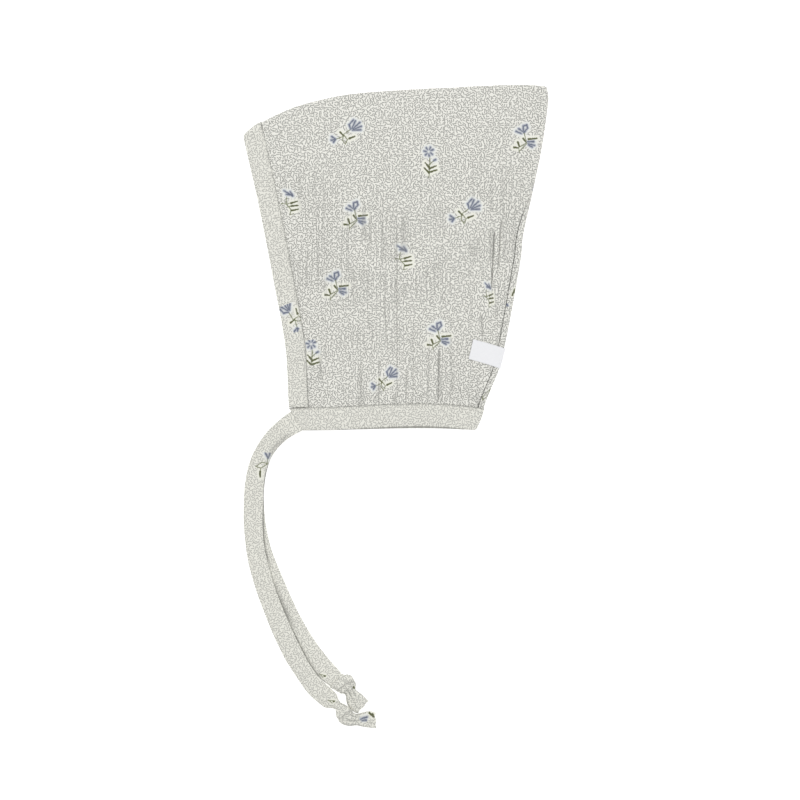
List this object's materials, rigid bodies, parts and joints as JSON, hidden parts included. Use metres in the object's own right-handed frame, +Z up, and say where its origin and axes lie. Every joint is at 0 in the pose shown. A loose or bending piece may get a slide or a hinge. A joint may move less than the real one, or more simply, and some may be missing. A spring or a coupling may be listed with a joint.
{
  "type": "baby bonnet",
  "caption": "Soft cotton baby bonnet lying flat on its side, pointed at the back of the crown, with a bound face edge, neck band and two knotted ties",
  "frame": {"origin": "on the surface under the middle of the bonnet's box, measured without the ties and their knots", "axes": "+X from the face edge towards the back of the head, +Y from the neck edge towards the crown, +Z up from the surface, out of the near side panel"},
  "size_m": [0.183, 0.386, 0.0157],
  "materials": {
    "panel_cloth": "crinkled cotton, cream with a fine grey squiggle and small blue sprigs",
    "binding_cloth": "the same cotton cut as smooth folded binding",
    "tie_cloth": "the same cotton folded into a flat tie",
    "label_tape": "plain white woven tape, bare"
  },
  "bodies": {
    "root": {"side_panel_near": "panel_cloth", "side_panel_far": "panel_cloth", "front_binding": "binding_cloth", "neck_band": "binding_cloth", "label": "label_tape", "tie_near": "tie_cloth", "tie_far": "tie_cloth", "knot_near": "tie_cloth", "knot_far": "tie_cloth"}
  },
  "joints": []
}
